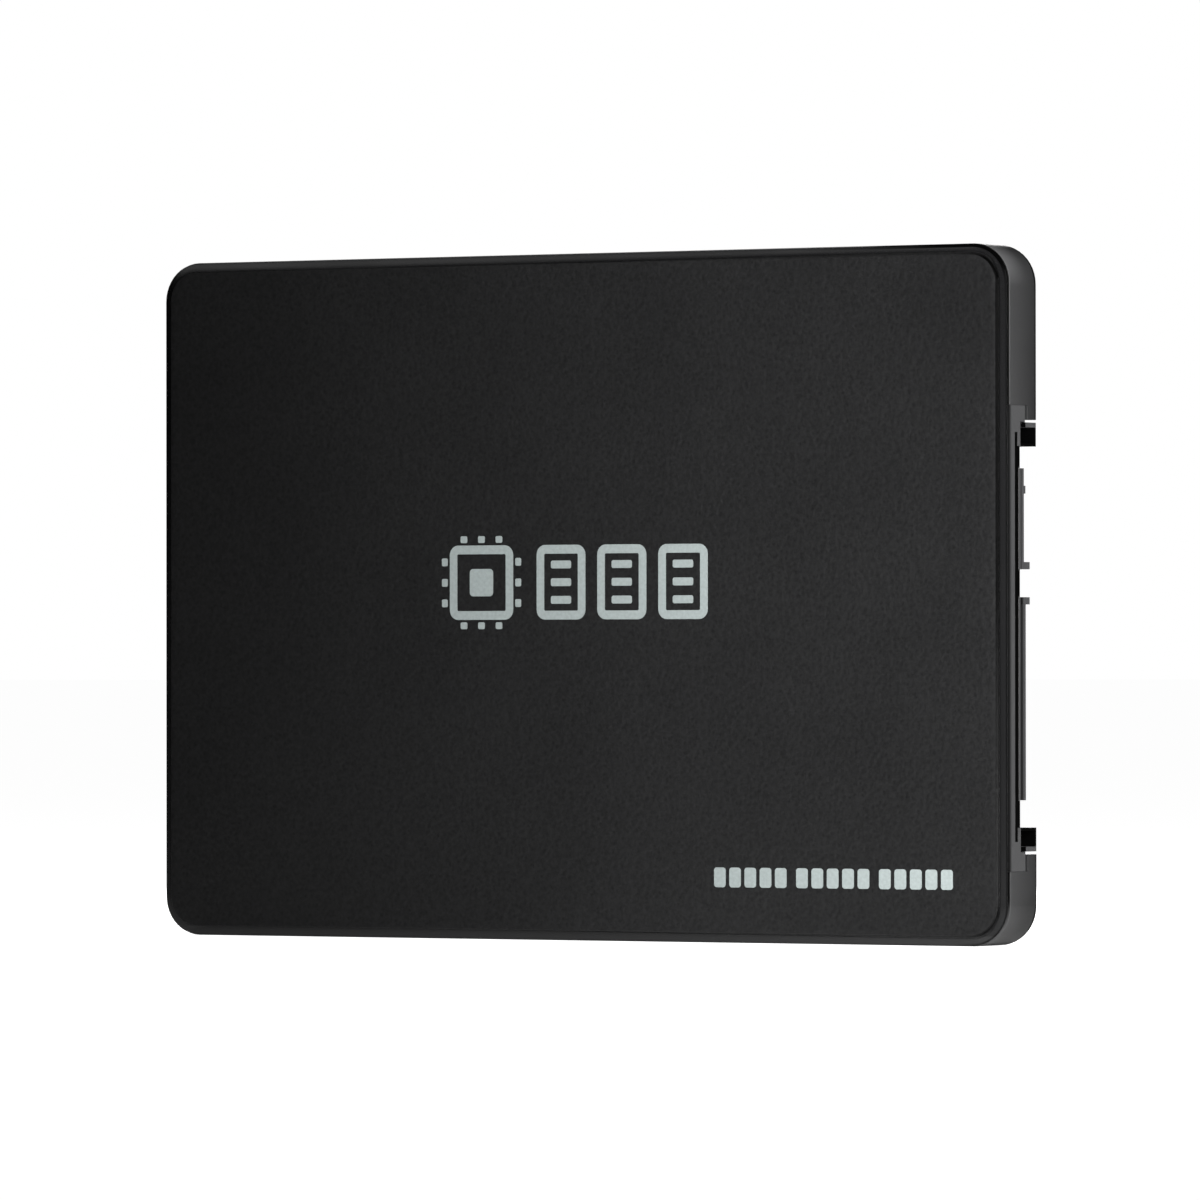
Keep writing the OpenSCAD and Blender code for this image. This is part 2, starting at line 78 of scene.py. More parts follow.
BASE_CORNER = 4.0 * MM              # radius of the base's outline at its corners
COVER_CORNER = 3.9 * MM             # the same for the cover
RIM_WIDTH = 1.0 * MM                # smooth rim round the cover's raised field
RIM_DEPTH = 0.45 * MM               # how far the rim's foot lies behind the field
EDGE_DEPTH = 0.58 * MM              # where the painted shadow on the cover's outer edge begins
SEAM_DEPTH = 0.91 * MM              # where the chamfer along the base's walls ends
HOLE_RADIUS = 1.25 * MM             # bored M3 thread
HOLE_DEPTHS = {"base_holes": 3.4 * MM, "upper_side_holes": 2.5 * MM, "lower_side_holes": 2.5 * MM}

# ---------- details that are added here ----------

PEBBLE = 0.52 * MM                  # moulded grain of the cover's field
ARC_STEPS = 6                       # sides of a printed shape's rounded corner
INK_THICKNESS = 0.012 * MM
LABEL_INK_THICKNESS = 0.004 * MM
THREAD_PITCH = 0.5 * MM
THREAD_CREST = 1.12 * MM            # radius at the ridge's crest
THREAD_START = 0.3 * MM             # depth of the first turn in its hole
RIDGE_HALF = 0.2 * MM               # half the ridge's width at its root
BEVEL_SAMPLES = 6                   # rays that round a normal at an edge
# near black, the colour that painted shade is mixed towards
BLACK = (0.001, 0.001, 0.001)

# ---------- camera ----------

CAMERA_PLACE = (0.5344, -0.8876, 0.0273)
CAMERA_TURN = (90.405, 0.05, 31.003)    # degrees
CAMERA_LENS = 305.06                # millimetres
CAMERA_SENSOR = 36                  # millimetres


# ---------- node helpers ----------

class Shader:
    """A material's node tree, with short calls for the nodes used here."""

    def __init__(self, name):
        self.material = bpy.data.materials.new(name)
        self.material.use_nodes = True
        self.tree = self.material.node_tree
        self.bsdf = self.tree.nodes["Principled BSDF"]
        coordinates = self.tree.nodes.new("ShaderNodeTexCoord")
        self.place = coordinates.outputs["Object"]

    def link(self, value, socket):
        """Joins an output to a socket, or sets the socket to a plain value."""
        if isinstance(value, bpy.types.NodeSocket):
            self.tree.links.new(value, socket)
        elif socket.type == "RGBA" and len(value) == 3:
            socket.default_value = (*value, 1)
        else:
            socket.default_value = value

    def node(self, kind, inputs=None, **settings):
        """A new node with its settings and inputs filled in."""
        made = self.tree.nodes.new(kind)
        for key, value in settings.items():
            setattr(made, key, value)
        for key, value in (inputs or {}).items():
            self.link(value, made.inputs[key])
        return made

    def math(self, operation, a, b=0.0, c=0.0):
        return self.node("ShaderNodeMath", {0: a, 1: b, 2: c}, operation=operation).outputs[0]

    def product(self, first, *others):
        """All the values multiplied together."""
        for other in others:
            first = self.math("MULTIPLY", first, other)
        return first

    def largest(self, first, *others):
        """The greatest of the values."""
        for other in others:
            first = self.math("MAXIMUM", first, other)
        return first

    def noise(self, cell, detail=2.0, roughness=0.5):
        """Soft noise whose blobs are about one cell wide, in metres."""
        return self.node("ShaderNodeTexNoise", {"Vector": self.place, "Scale": 1 / cell, "Detail": detail,
                                                "Roughness": roughness}).outputs["Fac"]

    def pebbles(self, cell, smoothness=0.6):
        """Rounded moulded grain whose pebbles are about one cell wide."""
        return self.node("ShaderNodeTexVoronoi", {"Vector": self.place, "Scale": 1 / cell,
                                                  "Smoothness": smoothness},
                         feature="SMOOTH_F1").outputs["Distance"]

    def ramp(self, value, low, high, to_low=0.0, to_high=1.0):
        """A clamped straight ramp from one range to another."""
        return self.node("ShaderNodeMapRange", {"Value": value, "From Min": low, "From Max": high,
                                                "To Min": to_low, "To Max": to_high}).outputs[0]

    def mix(self, factor, a, b):
        made = self.node("ShaderNodeMix", data_type="RGBA")
        for key, value in ((0, factor), (6, a), (7, b)):
            self.link(value, made.inputs[key])
        return made.outputs[2]

    def axis(self, name):
        """One coordinate of the shaded point, in metres."""
        return self.node("ShaderNodeSeparateXYZ", {0: self.place}).outputs[name]

    def depth(self):
        """Distance behind the cover's face, in metres."""
        return self.math("SUBTRACT", self.axis("Y"), FACE_Y)

    def off_middle(self):
        """Height above or below the drive's middle, in metres."""
        return self.math("ABSOLUTE", self.math("SUBTRACT", self.axis("Z"), CENTRE.z))

    def within(self, value, low, high):
        """1 where the value lies between low and high, else 0."""
        return self.math("COMPARE", value, (low + high) / 2, (high - low) / 2)

    def inset(self, low, high, radius):
        """Distance inwards from a rounded outline in the XZ plane, in metres."""
        sides = []
        for name, a, b in (("X", low.x, high.x), ("Z", low.z, high.z)):
            offset = self.math("ABSOLUTE", self.math("SUBTRACT", self.axis(name), (a + b) / 2))
            sides.append(self.math("SUBTRACT", offset, (b - a) / 2 - radius))
        over = [self.largest(side, 0.0) for side in sides]
        squares = [self.product(side, side) for side in over]
        corner = self.math("SQRT", self.math("ADD", *squares))
        straight = self.math("MINIMUM", self.largest(*sides), 0.0)
        return self.math("SUBTRACT", radius, self.math("ADD", corner, straight))

    def edge_wear_and_highlight(self, radius):
        """1 on sharp edges and 0 on flats, from a rounded copy of the normal."""
        rounded = self.node("ShaderNodeBevel", {"Radius": radius}, samples=BEVEL_SAMPLES).outputs[0]
        flat = self.node("ShaderNodeNewGeometry").outputs["Normal"]
        agree = self.node("ShaderNodeVectorMath", {0: rounded, 1: flat}, operation="DOT_PRODUCT")
        return self.ramp(agree.outputs["Value"], 0.98, 0.80)

    def rough_up(self, height, distance, soften=0.0):
        """Bumps the surface, over normals rounded by soften."""
        inputs = {"Height": height, "Distance": distance, "Strength": 1.0}
        if soften:
            rounded = self.node("ShaderNodeBevel", {"Radius": soften}, samples=BEVEL_SAMPLES)
            inputs["Normal"] = rounded.outputs[0]
        self.link(self.node("ShaderNodeBump", inputs).outputs[0], self.bsdf.inputs["Normal"])

    def finish(self, color, roughness, metallic=0.0, specular=0.5):
        self.link(color, self.bsdf.inputs["Base Color"])
        self.link(roughness, self.bsdf.inputs["Roughness"])
        self.link(metallic, self.bsdf.inputs["Metallic"])
        self.link(specular, self.bsdf.inputs["Specular IOR Level"])
        return self.material


# ---------- materials ----------

class CoverPlaces:
    """Places on the cover that its relief, shadows and sheen share."""

    def __init__(self, s):
        self.depth = s.depth()
        self.inset = s.inset(COVER_LOW, COVER_HIGH, COVER_CORNER)
        self.upper = s.ramp(s.axis("Z"), HIGH.z - 6 * MM, HIGH.z - 2 * MM)
        # Along the top and bottom edges the rim looks narrower, most of all towards the connector.
        narrow = s.ramp(s.axis("X"), -30 * MM, 40 * MM, 0.96 * MM, 0.62 * MM)
        self.rim_width = s.ramp(s.off_middle(), HALF_HEIGHT - 4.5 * MM, HALF_HEIGHT - 1.5 * MM,
                                RIM_WIDTH, narrow)
        self.inside = s.math("SUBTRACT", self.inset, self.rim_width)
        raised = s.ramp(self.depth, 0.10 * MM, 0.04 * MM)
        self.field = s.largest(raised, s.ramp(self.inside, 0.0, 0.08 * MM))


def cover_relief(s, places):
    """Pebbled grain on the field, a crowned rim, and a brow along the field's edge."""
    pebbles = s.product(s.pebbles(PEBBLE), 0.9)
    fine = s.product(s.noise(0.20 * MM, 3.0), 0.5)
    grain = s.product(s.math("SUBTRACT", s.math("ADD", pebbles, fine), 0.6), places.field)
    satin = s.product(s.noise(0.12 * MM), 0.08)
    outward = s.ramp(places.inset, places.rim_width, 0.0)
    crown = s.product(outward, outward, places.rim_width, -2.4 / MM)
    brow = s.product(s.ramp(places.inside, 0.7 * MM, 0.0), places.field)
    near_end = s.ramp(s.axis("X"), 15 * MM, 42 * MM, 0.0, 1.6)
    steepness = s.math("ADD", 0.8, s.product(places.upper, near_end))
    shape = s.math("SUBTRACT", crown, s.product(brow, brow, steepness))
    return s.math("ADD", s.math("ADD", grain, satin), shape)


def cover_pit_shade_and_mottle(s, places):
    """Painted shade in the dimples of the field's grain, together with random mottling of its tone."""
    dimples = s.ramp(s.pebbles(PEBBLE), 0.50, 0.15, 0.0, 0.35)
    mottle = s.ramp(s.noise(0.42 * MM, 3.0, 0.6), 0.35, 0.65, 0.0, 0.65)
    return s.product(s.math("ADD", dimples, mottle), places.field)


def cover_shade(s, places):
    """Painted shadow at the step up to the field, on the cover's outer edge and on its upper brink."""
    depth, inset = places.depth, places.inset
    foot = s.product(s.ramp(inset, 0.72 * MM, 0.84 * MM),
                     s.ramp(depth, RIM_DEPTH - 0.01 * MM, RIM_DEPTH + 0.01 * MM, 0.0, 0.8))
    side = s.product(s.ramp(inset, 1.06 * MM, 0.99 * MM), s.ramp(depth, RIM_DEPTH, RIM_DEPTH - 0.01 * MM))
    step = s.product(s.largest(foot, side), s.ramp(s.axis("Z"), LOW.z, CENTRE.z, 0.6, 1.0))
    outer = s.ramp(inset, 0.24 * MM, 0.10 * MM, 0.0, 0.75)
    line = s.product(s.largest(step, outer), s.ramp(s.axis("X"), 44 * MM, 47.5 * MM))
    low_end = s.ramp(s.axis("Z"), LOW.z + 0.5 * MM, LOW.z + 4.5 * MM, 0.3, 1.0)
    edge = s.product(s.within(depth, EDGE_DEPTH, 3.0 * MM), low_end)
    near_end = s.ramp(s.axis("X"), 26 * MM, 42 * MM)
    brink = s.product(s.ramp(inset, 0.32 * MM, 0.24 * MM), near_end, places.upper)
    return s.largest(line, edge, brink)


def cover_painted_sheen(s, places):
    """A painted sheen: the field's colour and gloss are raised in the middle and lowered towards the
    plain end.
    """
    along = s.axis("X")
    from_end = s.ramp(along, -48 * MM, -20 * MM, 0.77, 1.05)
    to_middle = s.ramp(along, -20 * MM, 8 * MM, 0.0, 0.18)
    past_middle = s.ramp(along, 16 * MM, 44 * MM, 0.0, 0.23)
    sheen = s.math("SUBTRACT", s.math("ADD", from_end, to_middle), past_middle)
    return s.ramp(places.field, 0.0, 1.0, 1.0, sheen)


def cover_material():
    """Black moulded plastic, pebbled on the raised field and satin on the crowned rim; its colour carries
    painted shade, a painted sheen and painted floor light.
    """
    s = Shader("cover_plastic")
    places = CoverPlaces(s)
    s.rough_up(cover_relief(s, places), 0.045 * MM, soften=0.03 * MM)
    pit_shade_and_mottle = cover_pit_shade_and_mottle(s, places)
    shade = cover_shade(s, places)
    sheen = cover_painted_sheen(s, places)
    tone = s.mix(s.noise(9 * MM, 3.0), (0.0065, 0.0065, 0.0068), (0.0085, 0.0085, 0.0089))
    tone = s.mix(s.product(pit_shade_and_mottle, 0.4), tone, (0.002, 0.002, 0.002))
    # Painted light: the lowest millimetre of the cover is lighter, as if lit from the floor.
    painted_floor_light = s.ramp(s.axis("Z"), LOW.z + 1.1 * MM, LOW.z + 0.9 * MM)
    tone = s.mix(painted_floor_light, tone, (0.020, 0.020, 0.0205))
    tone = s.mix(shade, tone, BLACK)
    # The painted sheen scales the colour as well as the gloss.
    tone = s.node("ShaderNodeVectorMath", {0: tone, "Scale": sheen}, operation="SCALE").outputs["Vector"]
    uneven = s.ramp(s.noise(14 * MM, 4.0), 0.3, 0.7, -0.04, 0.04)
    rough = s.math("ADD", s.ramp(places.field, 0.0, 1.0, 0.24, 0.52), uneven)
    bare_gloss = s.math("SUBTRACT", 0.5, s.product(pit_shade_and_mottle, 0.17))
    gloss = s.product(sheen, bare_gloss, s.ramp(shade, 0, 1, 1.0, 0.05))
    return s.finish(tone, rough, specular=gloss)


def end_corner_painted_light(s, tone, depth):
    """Painted highlight on the upper corner at the connector end, and painted shade on the lower one."""
    at_end = s.ramp(s.axis("X"), 42 * MM, 47 * MM)
    lit = s.product(s.ramp(s.axis("Z"), HIGH.z - 4.35 * MM, HIGH.z - 0.35 * MM),
                    s.ramp(depth, 0.9 * MM, 4.5 * MM, 1.0, 0.1), at_end)
    tone = s.mix(lit, tone, (0.105, 0.105, 0.107))
    away = s.product(s.ramp(s.axis("Z"), LOW.z + 5.5 * MM, LOW.z + 1.5 * MM),
                     s.ramp(depth, 1.5 * MM, 5 * MM, 0.0, 0.9), at_end)
    return s.mix(away, tone, (0.003, 0.003, 0.003))


def base_material():
    """The base's plastic, satin, with painted shade towards the rounded edge and a painted highlight
    along the seam, which turns to painted shadow at its ends.
    """
    s = Shader("base_plastic")
    depth = s.depth()
    s.rough_up(s.product(s.noise(0.16 * MM, 3.0), 0.5), 0.018 * MM, soften=0.04 * MM)
    tone = s.mix(s.noise(11 * MM, 3.0), (0.025, 0.025, 0.0255), (0.0285, 0.0285, 0.029))
    # Sharp edges are lighter: partly wear, partly a painted highlight.
    tone = s.mix(s.product(s.edge_wear_and_highlight(0.09 * MM), 0.15), tone, (0.055, 0.055, 0.056))
    # Painted shade: the walls darken from the cover towards the rounded edge.
    rim = s.ramp(s.inset(LOW, HIGH, BASE_CORNER), 0.85 * MM, 0.55 * MM)
    painted_wall_shade = s.product(s.ramp(depth, 1.0 * MM, 6.6 * MM, 0.0, 0.75), rim)
    tone = s.mix(painted_wall_shade, tone, (0.006, 0.006, 0.0063))
    tone = end_corner_painted_light(s, tone, depth)
    # Painted shadow along the rounded edge, stronger at the corners.
    corner = s.ramp(s.off_middle(), HALF_HEIGHT - 4.5 * MM, HALF_HEIGHT - 3.0 * MM, 0.5, 1.0)
    rounding_shadow = s.product(s.ramp(depth, 5.90 * MM, 6.05 * MM), rim, corner)
    # Painted highlight on the chamfer at the seam, which becomes painted shadow towards the ends.
    seam = s.ramp(depth, SEAM_DEPTH + 0.02 * MM, SEAM_DEPTH - 0.02 * MM)
    tone = s.mix(seam, tone, (0.16, 0.16, 0.162))
    ends = s.largest(s.ramp(s.axis("X"), 33 * MM, 36 * MM), s.ramp(s.axis("X"), -45 * MM, -47 * MM))
    low_end = s.ramp(s.axis("Z"), LOW.z + 0.5 * MM, LOW.z + 4.5 * MM, 0.6, 1.0)
    shade = s.largest(s.product(seam, ends, low_end), rounding_shadow)
    tone = s.mix(shade, tone, BLACK)
    rough = s.ramp(s.noise(6 * MM, 4.0), 0.3, 0.7, 0.40, 0.48)
    gloss = s.product(s.ramp(painted_wall_shade, 0, 0.75, 0.48, 0.34), s.ramp(shade, 0, 1, 1.0, 0.05))
    return s.finish(tone, rough, specular=gloss)


def connector_shade(s, depth, reach):
    """Painted shadow on the roof next to the cover, on the roof's lip and in the ears' pockets."""
    dark = s.ramp(depth, 1.30 * MM, 0.85 * MM, 0.0, 0.85)
    # The lip's underside, the ears' roots, their pockets and their inner ends, each as its near
    # and far depth and its inner and outer distance from the ears' middle, in millimetres.
    for near, far, inner, outer in ((1.94, 3.20, -1.0, 18.95), (1.94, 2.64, 18.60, 20.35),
                                    (3.10, 7.00, 18.60, 20.85), (3.10, 4.15, 20.85, 21.40)):
        zone = s.product(s.within(depth, near * MM, far * MM), s.within(reach, inner * MM, outer * MM))
        dark = s.largest(dark, zone)
    return dark


def tongue_slot_shade(s, depth, ears_mid):
    """Painted shade: a dark line along the two tongues, which is wider on the power side."""
    power_side = s.ramp(s.axis("Z"), ears_mid + 5.3 * MM, ears_mid + 5.1 * MM, 0.0, 0.92)
    power_band = s.product(s.ramp(depth, 4.19 * MM, 4.25 * MM), s.ramp(depth, 4.95 * MM, 4.62 * MM))
    signal_band = s.product(s.within(depth, 4.30 * MM, 4.47 * MM), 0.75)
    return s.largest(s.product(power_band, power_side), signal_band)


def connector_material():
    """Glass-filled connector plastic, with near-black painted shadow in the ears' pockets and on the
    roof's lip.
    """
    s = Shader("connector_plastic")
    fibres = s.noise(0.10 * MM, 2.0)
    s.rough_up(fibres, 0.010 * MM, soften=0.03 * MM)
    depth = s.depth()
    ears_mid = (HOUSING_LOW.z + HOUSING_HIGH.z) / 2 + 0.14 * MM
    reach = s.math("ABSOLUTE", s.math("SUBTRACT", s.axis("Z"), ears_mid))
    between_ears = s.within(reach, -1.0 * MM, 17.5 * MM)
    # Painted shade in the slots along the tongues.
    slots = s.product(tongue_slot_shade(s, depth, ears_mid), between_ears)
    dark = s.largest(connector_shade(s, depth, reach), slots)
    tone = s.mix(s.noise(1.2 * MM, 3.0), (0.034, 0.034, 0.035), (0.040, 0.040, 0.041))
    tongues = s.product(s.within(depth, 3.30 * MM, 5.60 * MM), between_ears)
    tone = s.mix(s.product(tongues, 0.12), tone, (0.004, 0.004, 0.004))
    tone = s.mix(dark, tone, BLACK)
    return s.finish(tone, s.ramp(fibres, 0.3, 0.7, 0.42, 0.54), specular=s.ramp(dark, 0, 1, 0.5, 0.01))


def metal_material(name, color, roughness):
    """Plain metal with fine turning marks and a little tarnish."""
    s = Shader(name)
    marks = s.noise(0.08 * MM, 3.0)
    s.rough_up(marks, 0.004 * MM, soften=0.04 * MM)
    dull = tuple(0.72 * part for part in color)
    tone = s.mix(s.ramp(s.noise(1.5 * MM, 4.0), 0.45, 0.7), color, dull)
    return s.finish(tone, s.ramp(marks, 0.3, 0.7, roughness, roughness + 0.12), metallic=1.0)


def label_material():
    """Laminated paper: off-white, faintly mottled, with a soft sheen."""
    s = Shader("label_paper")
    s.rough_up(s.noise(0.3 * MM, 4.0), 0.006 * MM)
    tone = s.mix(s.noise(3 * MM, 4.0), (0.66, 0.66, 0.65), (0.74, 0.74, 0.73))
    return s.finish(tone, s.ramp(s.noise(5 * MM), 0.3, 0.7, 0.38, 0.46))


def moulded_material(name, color, roughness, cell=0.15 * MM):
    """A small moulded, fired or rubbery part, with fine grain and soft mottling."""
    s = Shader(name)
    s.rough_up(s.noise(cell, 3.0), 0.008 * MM)
    light = tuple(min(1.0, 1.25 * part) for part in color)
    return s.finish(s.mix(s.noise(2 * MM, 3.0), color, light), roughness)


def ink_material(name, color, grain):
    """Pad-printed ink, which follows the grain beneath it."""
    s = Shader(name)
    pebbles = s.product(s.pebbles(PEBBLE), grain)
    s.rough_up(s.math("ADD", pebbles, s.product(s.noise(0.1 * MM), 0.2)), 0.02 * MM)
    thin = tuple(0.86 * part for part in color)
    tone = s.mix(s.ramp(s.noise(0.35 * MM, 4.0), 0.35, 0.65), thin, color)
    return s.finish(tone, s.ramp(s.noise(2 * MM), 0.3, 0.7, 0.42, 0.52))


def dress_nodes():
    """Gives each CAD node the material of its slot."""
    by_slot = {
        "cover_plastic": cover_material(),
        "base_plastic": base_material(),
        "connector_plastic": connector_material(),
        "label_paper": label_material(),
        "thread_brass": metal_material("thread_brass", (0.72, 0.53, 0.25), 0.24),
        "contact_gold": metal_material("contact_gold", (0.83, 0.60, 0.24), 0.22),
        "screw_steel": metal_material("screw_steel", (0.56, 0.57, 0.60), 0.28),
        "lock_metal": metal_material("lock_metal", (0.62, 0.60, 0.56), 0.35),
        "crystal_can": metal_material("crystal_can", (0.60, 0.61, 0.63), 0.25),
        "chip_package": moulded_material("chip_package", (0.018, 0.018, 0.02), 0.55),
        "board_laminate": moulded_material("board_laminate", (0.010, 0.085, 0.05), 0.30, 0.4 * MM),
        "thermal_pad_silicone": moulded_material("thermal_pad_silicone", (0.24, 0.31, 0.38), 0.75),
        "inductor_ferrite": moulded_material("inductor_ferrite", (0.06, 0.06, 0.065), 0.60),
        "tantalum_body": moulded_material("tantalum_body", (0.56, 0.28, 0.05), 0.40),
        "ceramic_body": moulded_material("ceramic_body", (0.33, 0.23, 0.15), 0.50),
        "fuse_ceramic": moulded_material("fuse_ceramic", (0.68, 0.68, 0.62), 0.45),
    }
    slots = {row["node"]: row["material_slot"] for row in frame["record"]["subparts"]}
    for name, obj in frame["nodes"].items():
        for slot in obj.material_slots:
            slot.material = by_slot[slots[name]]


# ---------- printed shapes ----------

def finish_piece(name, mesh, material):
    """Turns a bmesh into a piece with its material, riding on the drive's one body."""
    bmesh.ops.recalc_face_normals(mesh, faces=mesh.faces)
    data = bpy.data.meshes.new(name)
    mesh.to_mesh(data)
    mesh.free()
    piece = bpy.data.objects.new(name, data)
    bpy.context.scene.collection.objects.link(piece)
    piece.data.materials.append(material)
    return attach(piece, "root")


def bar(x, z, width, height, radius=0.0):
    """A bar's outline about its centre, with rounded corners, in millimetres."""
    if radius == 0:
        return [(x - width / 2, z - height / 2), (x + width / 2, z - height / 2),
                (x + width / 2, z + height / 2), (x - width / 2, z + height / 2)]
    points = []
    for quarter, (sx, sz) in enumerate(((1, 1), (-1, 1), (-1, -1), (1, -1))):
        for step in range(ARC_STEPS + 1):
            angle = math.radians(90 * (quarter + step / ARC_STEPS))
            points.append((x + sx * (width / 2 - radius) + radius * math.cos(angle),
                           z + sz * (height / 2 - radius) + radius * math.sin(angle)))
    return points


def print_piece(name, outlines, origin, across, material, rings=(), thickness=INK_THICKNESS):
    """Thin printed shapes on a face, from outlines in millimetres: x runs across and z up."""
    outward = across.cross(Vector((0, 0, 1)))
    mesh = bmesh.new()

    def place(point, lift):
        return origin + across * (point[0] * MM) + Vector((0, 0, point[1] * MM)) + outward * lift

    def stitch(one, other):
        """A closed strip of faces between two loops."""
        for a in range(len(one)):
            b = (a + 1) % len(one)
            mesh.faces.new([one[a], one[b], other[b], other[a]])

    def close(loops):
        """A flat solid over its loops: one loop is a plate, two are a ring."""
        low = [[mesh.verts.new(place(p, 0)) for p in loop] for loop in loops]
        top = [[mesh.verts.new(place(p, thickness)) for p in loop] for loop in loops]
        for level in (top, low):
            if len(loops) == 1:
                mesh.faces.new(level[0])
            else:
                stitch(*level)
        for low_loop, top_loop in zip(low, top):
            stitch(low_loop, top_loop)

    for outline in outlines:
        close([outline])
    for outer, inner in rings:
        close([outer, inner])
    finish_piece(name, mesh, material)


def frame_ring(x, z, width, height, line, radius):
    """The outer and inner outlines of a rounded frame with the given line width."""
    inner_radius = max(radius - line, 0.15)
    return (bar(x, z, width, height, radius),
            bar(x, z, width - 2 * line, height - 2 * line, inner_radius))


def emblem_shapes():
    """A made-up pictogram: a chip with pins all round, then three memory blocks. In millimetres."""
    height = 7.6
    line = 0.9
    corner = 1.0
    chip_x = -11.2
    pin_reach = 4.4
    outlines = [bar(chip_x, 0, 2.8, 2.8, 0.4)]
    rings = [frame_ring(chip_x, 0, height, height, line, corner)]
    for shift in (-2.1, 0.0, 2.1):
        for side in (-pin_reach, pin_reach):
            outlines.append(bar(chip_x + shift, side, 0.8, 0.7, 0.15))
            outlines.append(bar(chip_x + side, shift, 0.7, 0.8, 0.15))
    for block_x in (-1.7, 5.5, 12.7):
        rings.append(frame_ring(block_x, 0, 5.8, height, line, corner))
        outlines += [bar(block_x, z, 2.4, 0.8, 0.2) for z in (-1.8, 0.0, 1.8)]
    return outlines, rings


def print_cover():
    """The emblem in the middle and three groups of small blocks at the lower right."""
    ink = ink_material("print_ink", (0.375, 0.425, 0.42), 0.5)
    along = Vector((1, 0, 0))
    outlines, rings = emblem_shapes()
    middle = Vector((CENTRE.x + 0.2 * MM, FACE_Y, CENTRE.z + 1.5 * MM))
    print_piece("cover_emblem", outlines, middle, along, ink, rings)
    row = Vector((HIGH.x - 19.75 * MM, FACE_Y, LOW.z + 6.6 * MM))
    group_pitch = 9.53
    cell_pitch = 1.77
    cells = [bar(group_pitch * group + cell_pitch * cell, 0, 1.35, 2.0, 0.3)
             for group in (-1, 0, 1) for cell in (-2, -1, 0, 1, 2)]
    print_piece("cover_cell_row", cells, row, along, ink)


def print_label():
    """A plain label layout: a frame line, a heading band and blank fields. In millimetres."""
    ink = ink_material("label_ink", (0.05, 0.05, 0.055), 0.0)
    pale = ink_material("label_tint", (0.32, 0.34, 0.35), 0.0)
    middle = Vector(((LABEL_LOW.x + LABEL_HIGH.x) / 2, LABEL_HIGH.y, (LABEL_LOW.z + LABEL_HIGH.z) / 2))
    width = (LABEL_HIGH.x - LABEL_LOW.x) / MM
    height = (LABEL_HIGH.z - LABEL_LOW.z) / MM
    across = Vector((-1, 0, 0))
    margin = 1.2
    edge = frame_ring(0, 0, width - 2 * margin, height - 2 * margin, 0.3, 1.2)
    heading = [bar(0, height / 2 - 7.2, width - 5 * margin, 6.6, 0.8)]
    print_piece("label_frame_print", heading, middle, across, ink, [edge], LABEL_INK_THICKNESS)
    row_pitch = 7.6
    square_pitch = 6.6
    square = 5.2
    rows = [frame_ring(-13.5, height / 2 - 16.5 - row_pitch * row, 27.0, square, 0.25, 0.6)
            for row in range(3)]
    squares = [frame_ring(6.0 + square_pitch * column, -height / 2 + 8.0, square, square, 0.25, 0.6)
               for column in range(4)]
    tinted = [bar(15.8, 3.0, 14.0, 9.4, 0.9)]
    print_piece("label_field_print", tinted, middle, across, pale, rows + squares, LABEL_INK_THICKNESS)


# ---------- thread ridges in the mounting holes ----------

def thread_ridge(name, mouth, inward, depth, material):
    """A helical ridge along a bored hole, from its mouth inwards."""
    turn_steps = 36
    side = inward.orthogonal().normalized()
    other = inward.cross(side)
    turns = int((depth - THREAD_PITCH) / THREAD_PITCH)
    sections = []
    mesh = bmesh.new()
    for step in range(turns * turn_steps + 1):
        angle = 2 * math.pi * step / turn_steps
        out = side * math.cos(angle) + other * math.sin(angle)
        level = mouth + inward * (THREAD_START + THREAD_PITCH * step / turn_steps)
        root = level + out * HOLE_RADIUS
        crest = level + out * THREAD_CREST
        triangle = (root - inward * RIDGE_HALF, crest, root + inward * RIDGE_HALF)
        sections.append([mesh.verts.new(point) for point in triangle])
    for a, b in zip(sections, sections[1:]):
        for k in range(3):
            mesh.faces.new([a[k], a[(k + 1) % 3], b[(k + 1) % 3], b[k]])
    mesh.faces.new(sections[0][::-1])
    mesh.faces.new(sections[-1])
    return finish_piece(name, mesh, material)


def hole_places(mount):
    """The mouths of a mount's holes and the way into them."""
    middle = Vector(mount["pos_m"])
    inward = -Vector(mount["axis"])
    half_x = mount["dims"]["spacing_x_mm"] * MM / 2
    half_z = mount["dims"].get("spacing_y_mm", 0.0) * MM / 2
    ups = (half_z, -half_z) if half_z else (0.0,)
    return [(middle + Vector((dx, 0, dz)), inward) for dx in (half_x, -half_x) for dz in ups]


def add_threads():
    """A ridge in each of the eight mounting holes."""
    brass = metal_material("ridge_brass", (0.66, 0.48, 0.22), 0.30)
    for mount_name, depth in HOLE_DEPTHS.items():
        for number, (mouth, inward) in enumerate(hole_places(MOUNTS[mount_name]), 1):
            piece = thread_ridge(f"{mount_name}_ridge_{number}", mouth, inward, depth, brass)


# ---------- camera, floor and lights ----------

def place_camera():
    """The camera stands low, ahead of the connector end, and looks almost level."""
    data = bpy.data.cameras.new("camera")
    data.sensor_width = CAMERA_SENSOR
    data.lens = CAMERA_LENS
    data.clip_start = 0.05
    camera = bpy.data.objects.new("camera", data)
    camera.location = CAMERA_PLACE
    camera.rotation_euler = [math.radians(turn) for turn in CAMERA_TURN]
    bpy.context.scene.collection.objects.link(camera)
    bpy.context.scene.camera = camera


def area_light(name, place, target, size, power):
    """A soft box of so many watts that faces the target and stays out of the camera's sight."""
    data = bpy.data.lights.new(name, "AREA")
    data.shape = "RECTANGLE"
    data.size, data.size_y = size
    data.energy = power
    light = bpy.data.objects.new(name, data)
    aim = (target - place).to_track_quat("-Z", "Y").to_matrix().to_4x4()
    light.matrix_world = Matrix.Translation(place) @ aim
    light.visible_camera = False
    bpy.context.scene.collection.objects.link(light)


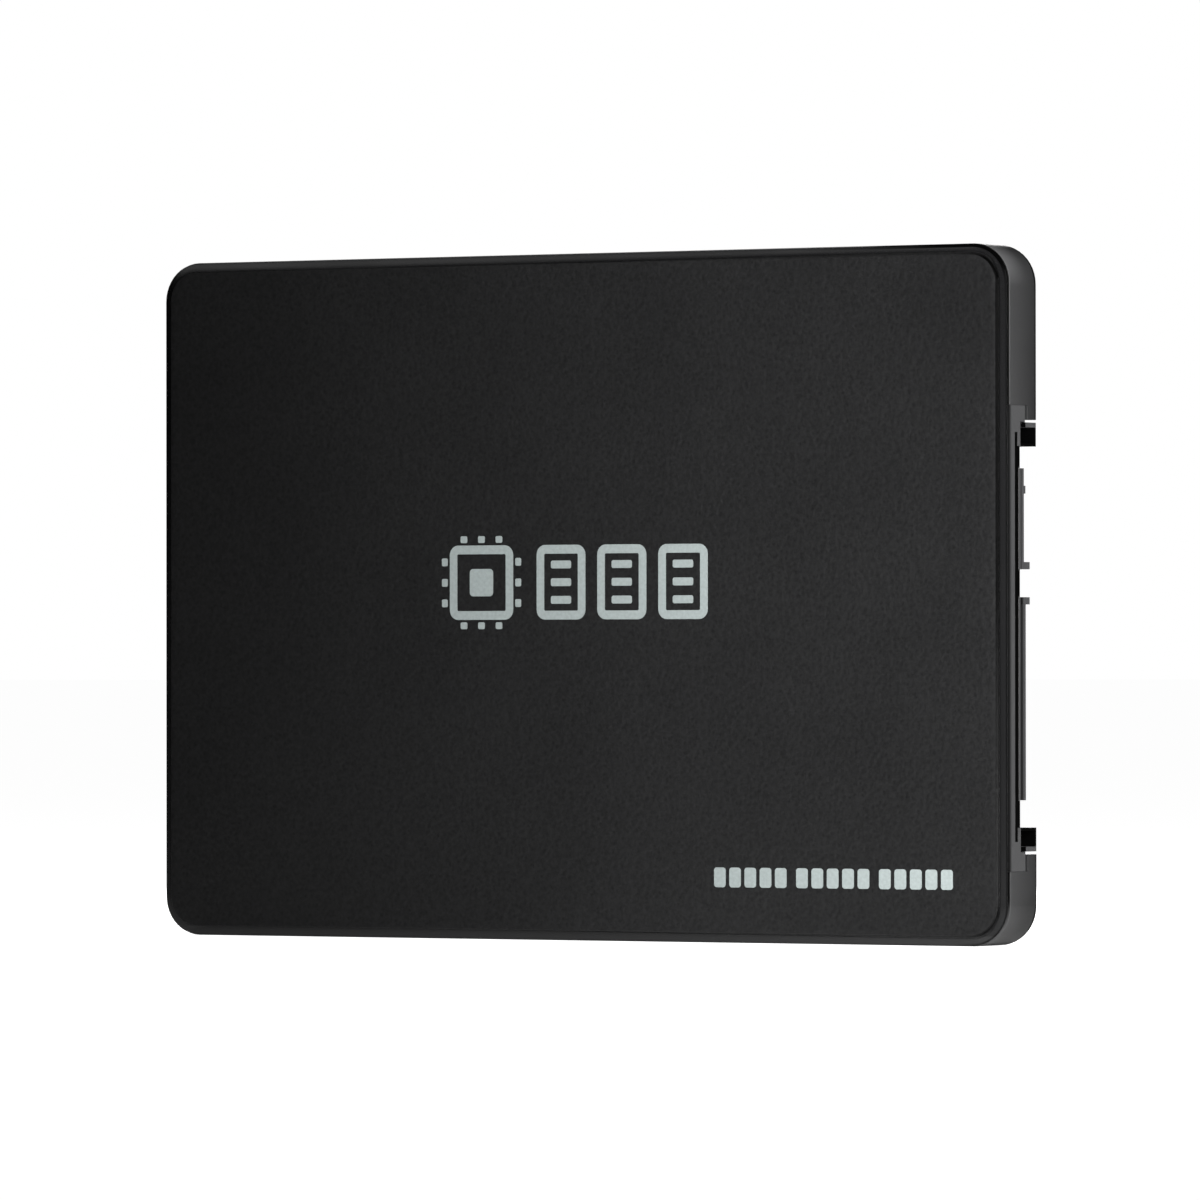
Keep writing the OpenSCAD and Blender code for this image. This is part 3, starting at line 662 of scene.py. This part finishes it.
def light_scene():
    """Boxes before the connector end, high at the left, above, and behind."""
    area_light("near_box", Vector((0.165, -0.090, 0.055)), Vector((0.03, 0.0, 0.035)), (0.06, 0.13), 0.77)
    area_light("rim_box", Vector((-0.50, -0.56, 0.40)), Vector((0.0, 0.0, 0.06)), (0.40, 0.20), 0.24)
    area_light("top_box", Vector((-0.10, 0.05, 0.75)), CENTRE, (0.3, 0.3), 0.4)
    area_light("back_box", Vector((-0.12, 0.20, 0.10)), CENTRE, (0.12, 0.12), 0.38)


def set_world():
    """White to the camera, and dim grey to everything else."""
    world = bpy.data.worlds.new("studio")
    bpy.context.scene.world = world
    world.use_nodes = True
    nodes = world.node_tree.nodes
    links = world.node_tree.links
    background = nodes["Background"]
    background.inputs["Color"].default_value = (0.004, 0.004, 0.004, 1)
    white = nodes.new("ShaderNodeBackground")
    white.inputs["Color"].default_value = (1, 1, 1, 1)
    path = nodes.new("ShaderNodeLightPath")
    mix = nodes.new("ShaderNodeMixShader")
    links.new(path.outputs["Is Camera Ray"], mix.inputs[0])
    links.new(background.outputs[0], mix.inputs[1])
    links.new(white.outputs[0], mix.inputs[2])
    links.new(mix.outputs[0], nodes["World Output"].inputs["Surface"])


def lay_floor():
    """A wide pale floor, lit a little from within so that it reads as white."""
    s = Shader("pale_floor")
    s.finish((0.65, 0.65, 0.65), s.ramp(s.noise(0.4, 2.0), 0.3, 0.7, 0.85, 0.95), specular=0.1)
    seen = s.node("ShaderNodeLightPath").outputs["Is Camera Ray"]
    s.link((1, 1, 1), s.bsdf.inputs["Emission Color"])
    s.link(s.ramp(seen, 0, 1, 0.0, 0.98), s.bsdf.inputs["Emission Strength"])
    mesh = bmesh.new()
    bmesh.ops.create_grid(mesh, x_segments=2, y_segments=2, size=30)
    data = bpy.data.meshes.new("floor")
    mesh.to_mesh(data)
    mesh.free()
    floor = bpy.data.objects.new("floor", data)
    floor.location.z = LOW.z - 0.02 * MM
    bpy.context.scene.collection.objects.link(floor)
    floor.data.materials.append(s.material)


bpy.context.scene.view_settings.view_transform = "Standard"
place_camera()
dress_nodes()
print_cover()
print_label()
add_threads()
lay_floor()
light_scene()
set_world()
